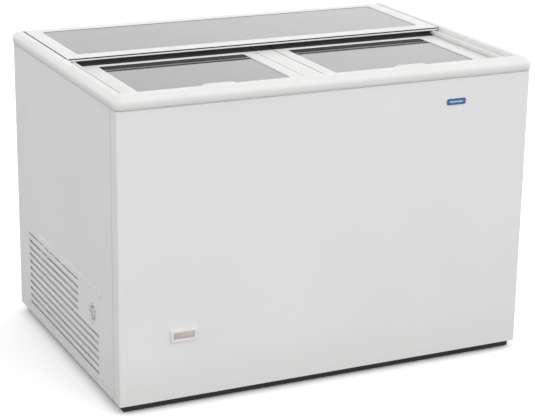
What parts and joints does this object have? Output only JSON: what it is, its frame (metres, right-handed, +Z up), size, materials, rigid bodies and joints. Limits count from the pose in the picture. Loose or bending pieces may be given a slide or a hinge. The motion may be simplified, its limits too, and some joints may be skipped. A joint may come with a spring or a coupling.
{
  "type": "chest freezer",
  "caption": "Glass-top display chest freezer with sliding lids on two levels, a stepped tub, insulated walls and a louvred side machine bay.",
  "frame": {"origin": "on the floor, under the middle of the cabinet", "axes": "+X to the right end along the length, -Y to the front, +Z up"},
  "size_m": [1.244, 0.88, 0.87],
  "materials": {
    "white_steel": "smooth satin white stoving enamel",
    "white_plastic": "satin white extruded and moulded plastic",
    "liner_white": "smooth white enamelled tub",
    "foam": "foamed-in polyurethane insulation",
    "glass": "toughened flat glass with a faint grey tint",
    "black_rubber": "matt black rubber",
    "black_plastic": "matt black moulded plastic",
    "grey_plastic": "satin grey moulded plastic",
    "blue_plate": "glossy blue plate, blank",
    "smoked_lens": "smoked translucent lens with a faint red glow",
    "galvanised": "galvanised sheet steel",
    "black_steel": "black enamelled steel can",
    "aluminium": "mill-finish aluminium fins",
    "copper": "drawn copper tube"
  },
  "bodies": {
    "cabinet": {"badge_plate": "blue_plate", "base_pan": "black_steel", "cable_gland": "black_plastic", "centre_divider": "white_plastic", "compressor": "black_steel", "compressor_mount_1": "black_rubber", "compressor_mount_2": "black_rubber", "compressor_mount_3": "black_rubber", "compressor_mount_4": "black_rubber", "compressor_terminal_box": "black_plastic", "compressor_tray": "galvanised", "condenser": "aluminium", "discharge_tube": "copper", "divider_seal": "black_rubber", "evaporator_coil": "copper", "fan_motor": "black_steel", "fan_motor_strap": "galvanised", "fan_shroud": "galvanised", "filter_drier": "copper", "front_left_foot": "black_rubber", "front_panel": "white_steel", "front_right_foot": "black_rubber", "front_rim": "white_plastic", "grille_screw_1": "white_steel", "grille_screw_2": "white_steel", "grille_screw_3": "white_steel", "grille_screw_4": "white_steel", "indicator_bezel": "white_plastic", "indicator_board": "black_plastic", "indicator_window": "smoked_lens", "inner_liner": "liner_white", "insulation_foam": "foam", "left_rim": "white_plastic", "left_side_panel": "white_steel", "machine_bay_cover": "galvanised", "rear_left_foot": "black_rubber", "rear_panel": "white_steel", "rear_right_foot": "black_rubber", "rear_rim": "white_plastic", "right_rim": "white_plastic", "right_side_panel": "white_steel", "side_grille": "white_steel", "suction_tube": "copper", "thermostat_body": "black_plastic"},
    "rear_lid": {"rear_lid_frame": "white_plastic", "rear_lid_glass": "glass", "rear_lid_left_runner": "grey_plastic", "rear_lid_right_runner": "grey_plastic"},
    "left_lid": {"left_lid_frame": "white_plastic", "left_lid_glass": "glass", "left_lid_handle": "white_plastic", "left_lid_seal": "black_rubber"},
    "right_lid": {"right_lid_frame": "white_plastic", "right_lid_glass": "glass", "right_lid_handle": "white_plastic", "right_lid_seal": "black_rubber"},
    "knob": {"thermostat_knob": "grey_plastic"},
    "fan": {"fan_blade": "black_plastic"},
    "plug": {"drain_plug": "black_rubber"}
  },
  "joints": [
    {"name": "rear_lid_slide", "type": "slide", "parent": "cabinet", "child": "rear_lid", "axis": [0, 1, 0], "range_m": [-0.41, 0]},
    {"name": "left_lid_slide", "type": "slide", "parent": "cabinet", "child": "left_lid", "axis": [0, 1, 0], "range_m": [0, 0.34]},
    {"name": "right_lid_slide", "type": "slide", "parent": "cabinet", "child": "right_lid", "axis": [0, 1, 0], "range_m": [0, 0.34]},
    {"name": "thermostat_turn", "type": "hinge", "parent": "cabinet", "child": "knob", "pos_m": [-0.6165, -0.232, 0.222], "axis": [-1, 0, 0], "range_deg": [-150, 150]},
    {"name": "fan_spin", "type": "hinge", "parent": "cabinet", "child": "fan", "pos_m": [-0.481, 0.078, 0.1495], "axis": [0, 1, 0], "continuous": true},
    {"name": "drain_plug_lift", "type": "slide", "parent": "cabinet", "child": "plug", "axis": [0, 0, 1], "range_m": [0, 0.03]}
  ]
}
